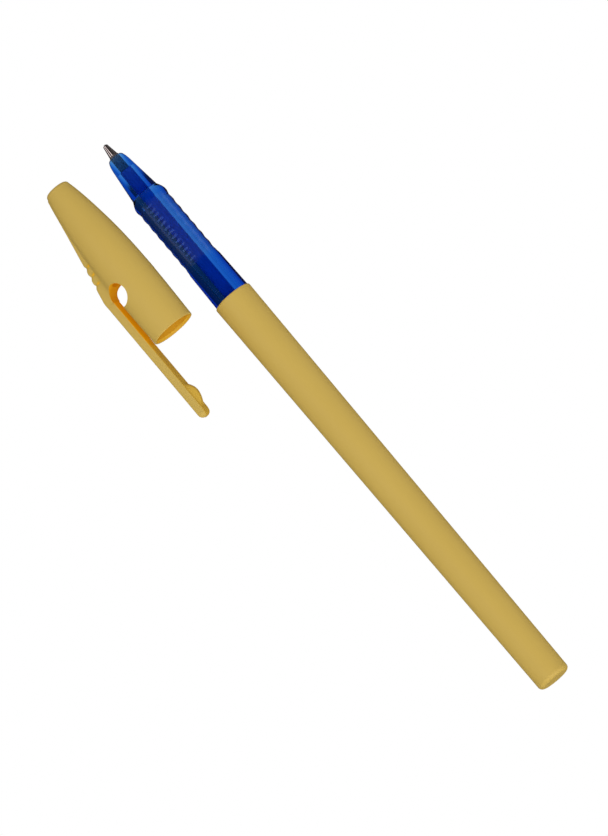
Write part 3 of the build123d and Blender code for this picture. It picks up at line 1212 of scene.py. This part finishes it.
def white_floor():
    material = bpy.data.materials.new("white_floor")
    bench = empty_bench(material)
    seen = ray_path(bench, "Is Camera Ray")
    through = ray_path(bench, "Is Transmission Ray")
    mirrored = ray_path(bench, "Is Glossy Ray")
    along, aside = (part_of(bench, object_place(bench), axis) for axis in (0, 1))
    shaded = ramp(bench, aside, pen_front.y + SHADE_EDGE, pen_front.y - SHADE_EDGE)
    past_nose = ramp(bench, along, pen_front.x + SHADE_START * MM, pen_front.x + SHADE_FULL * MM)
    lit = 1.0 - shaded * past_nose
    level = seen + through * (SHADED_FLOOR + (LIT_FLOOR - SHADED_FLOOR) * lit)
    shade = mixed(bench, mirrored, TABLE, MIRRORED_TABLE)
    table = bench.add("ShaderNodeBsdfDiffuse", {}, {"Color": shade})
    paper = bench.add("ShaderNodeEmission", {}, {"Color": PURE_WHITE, "Strength": level})
    either = bench.add("ShaderNodeMixShader", {}, {0: seen + through, 1: table, 2: paper})
    output = bench.tree.nodes.new("ShaderNodeOutputMaterial")
    bench.tree.links.new(either.socket, output.inputs["Surface"])
    return material


floor_edge = [
    (FLOOR_RADIUS * cos(a), FLOOR_RADIUS * sin(a), -FLOOR_DROP) for a in full_turn(FLOOR_SIDES)
]
floor_mesh = bpy.data.meshes.new("floor")
floor_mesh.from_pydata(floor_edge, [], [tuple(range(FLOOR_SIDES))])
floor_mesh.materials.append(white_floor())
floor = add_object("floor", floor_mesh)
print("floor", round(FLOOR_DROP / MM, 2), "mm below the pen")

# %% [markdown]
# The light is a tent, drawn on the sky by where a ray goes: along the pen, aside and up. The even tent and
# a large panel beyond the pen's rear end give most of it, and a weak panel beyond its front and a weak low
# band all round fill in. One more panel, on the cap's side, lights the satin plastic but is left out of
# mirrors, which see a darker tent as well, so that the metal keeps its dark tones. Through the clear
# plastic the camera finds a dark sky, while the pieces inside it are lit by a bright one.

# %% Light
REAR_PANEL, FRONT_PANEL = 1.8, 0.2
LOW_BAND, SIDE_PANEL = 0.15, 1.5
TENT, MIRRORED_TENT = 0.57, 0.08
SEEN_THROUGH, LIGHT_WITHIN = 0.1, 0.9
HORIZON = (-0.05, 0.0)
PANEL_FOOT = (0.2, 0.35)
REAR_EDGE, FRONT_EDGE, BAND_EDGE = (0.5, 0.65), (-0.6, -0.75), (0.4, 0.25)
SIDE_ALONG, SIDE_ALONG_EDGE = -0.182, (0.20, 0.12)
SIDE_LEAN, SIDE_LEAN_EDGE = radians(43), (radians(28), radians(18))


def tent_light():
    world = bpy.data.worlds.new("tent")
    bench = empty_bench(world)
    direction = bench.add("ShaderNodeTexCoord")
    along, aside, up = (part_of(bench, direction, axis) for axis in range(3))

    def size(value):
        return bench.add("ShaderNodeMath", {"operation": "ABSOLUTE"}, {0: value})

    lean = bench.add("ShaderNodeMath", {"operation": "ARCTAN2"}, {0: aside * -1.0, 1: up})
    raised = ramp(bench, up, *PANEL_FOOT)
    rear = raised * ramp(bench, along, *REAR_EDGE)
    front = raised * ramp(bench, along, *FRONT_EDGE)
    band = ramp(bench, up, *BAND_EDGE)
    side = ramp(bench, size(along - SIDE_ALONG), *SIDE_ALONG_EDGE)
    side = side * ramp(bench, size(lean - SIDE_LEAN), *SIDE_LEAN_EDGE)
    between = (1.0 - rear) * (1.0 - front)
    mirrored = ray_path(bench, "Is Glossy Ray")
    tent = TENT - mirrored * (TENT - MIRRORED_TENT)
    level = tent + rear * REAR_PANEL + front * FRONT_PANEL
    level = level + between * (band * LOW_BAND + side * (1.0 - mirrored) * SIDE_PANEL)
    level = level * ramp(bench, up, *HORIZON)
    seen = ray_path(bench, "Is Camera Ray")
    through = ray_path(bench, "Is Transmission Ray")
    bounces = ray_path(bench, "Diffuse Depth")
    within = bench.add("ShaderNodeMath", {"operation": "MINIMUM"}, {0: bounces, 1: 1.0})
    behind = SEEN_THROUGH + within * (LIGHT_WITHIN - SEEN_THROUGH)
    level = seen + through * behind + (1.0 - seen) * (1.0 - through) * level
    light = bench.add("ShaderNodeBackground", {}, {"Color": PURE_WHITE, "Strength": level})
    output = bench.tree.nodes.new("ShaderNodeOutputWorld")
    bench.tree.links.new(light.socket, output.inputs["Surface"])
    return world


scene.world = tent_light()
scene.view_settings.view_transform = "Standard"
print("tent has", len(scene.world.node_tree.nodes), "nodes")

# %% [markdown]
# Two places show the mirror image of a small light of their own. The metal tip is too small to show a
# whole tent, so two strips draw two bright streaks along its cone. The waves of the grip mirror a blue
# panel as a ladder of soft bars, because a wave turns its mirror image away and back again. Each light is
# set on the ray that its place throws back from the camera, and light linking keeps it off other pieces.

# %% Lights that one place mirrors
camera_lean = atan2(-towards_camera.y, towards_camera.z)


def lit_alone(name, pieces):
    """A collection of the pieces that a light falls on."""
    collection = bpy.data.collections.new(name)
    for piece in pieces:
        collection.objects.link(piece)
    return collection


def side_normal(turn, lean_forward):
    """A normal so many degrees round the pen from the side facing the camera, leaning to the front."""
    side = camera_lean + radians(turn)
    return Vector((
        -sin(lean_forward), -cos(lean_forward) * sin(side), cos(lean_forward) * cos(side)))


def mirrored_light(name, place, normal, distance, size, colour, brightness, receivers):
    """A light where the camera's ray goes on from a mirror at that place, long side along the pen."""
    ray = 2 * normal.dot(towards_camera) * normal - towards_camera
    data = bpy.data.lights.new(name, "AREA")
    data.shape = "RECTANGLE"
    data.size, data.size_y = size
    data.color = colour
    data.energy = brightness * pi * size[0] * size[1]
    light = add_object(name, data)
    long_side = (cap_along - cap_along.dot(ray) * ray).normalized()
    light.rotation_euler = Matrix((long_side.cross(ray), long_side, ray)).transposed().to_euler()
    light.location = place + ray * distance
    light.visible_camera = False
    light.visible_diffuse = False
    light.visible_transmission = False
    light.light_linking.receiver_collection = receivers


print("camera leans", round(camera_lean, 3), "radians from straight above the pen")

# %% Small lights for the tip and the grip
WHITE, GRIP_BLUE = (1.0, 1.0, 1.0), (0.15, 0.32, 1.0)
STRIP_BRIGHTNESS, GRIP_BRIGHTNESS = 2.6, 1.3
STRIPS = (("upper_strip", 8.0, 6.0), ("lower_strip", 36.0, 7.0))
strip_distance, strip_length = 25 * MM, 9 * MM
grip_turn, grip_light_distance, grip_light_size = 17.0, 0.3, (0.25, 0.096)

metal_pieces = lit_alone("metal_pieces", (tip, ball))
cone_angle = atan2(cone_end_radius - rim_radius, cone_end_x - rim_x)
cone_middle = pen_front + cap_along * shank_x / 2 * MM
for name, turn, spread in STRIPS:
    strip_size = (2 * radians(spread) * strip_distance, strip_length)
    mirrored_light(
        name, cone_middle, side_normal(turn, cone_angle), strip_distance, strip_size,
        WHITE, STRIP_BRIGHTNESS, metal_pieces)
clear_pieces = lit_alone("clear_pieces", (section,))
grip_middle = pen_front + cap_along * (GRIP_START + GRIP_END) / 2 * MM
mirrored_light(
    "grip_panel", grip_middle, side_normal(grip_turn, 0.0), grip_light_distance, grip_light_size,
    GRIP_BLUE, GRIP_BRIGHTNESS, clear_pieces)
print("small lights:", len(STRIPS), "for the tip and one for the grip")
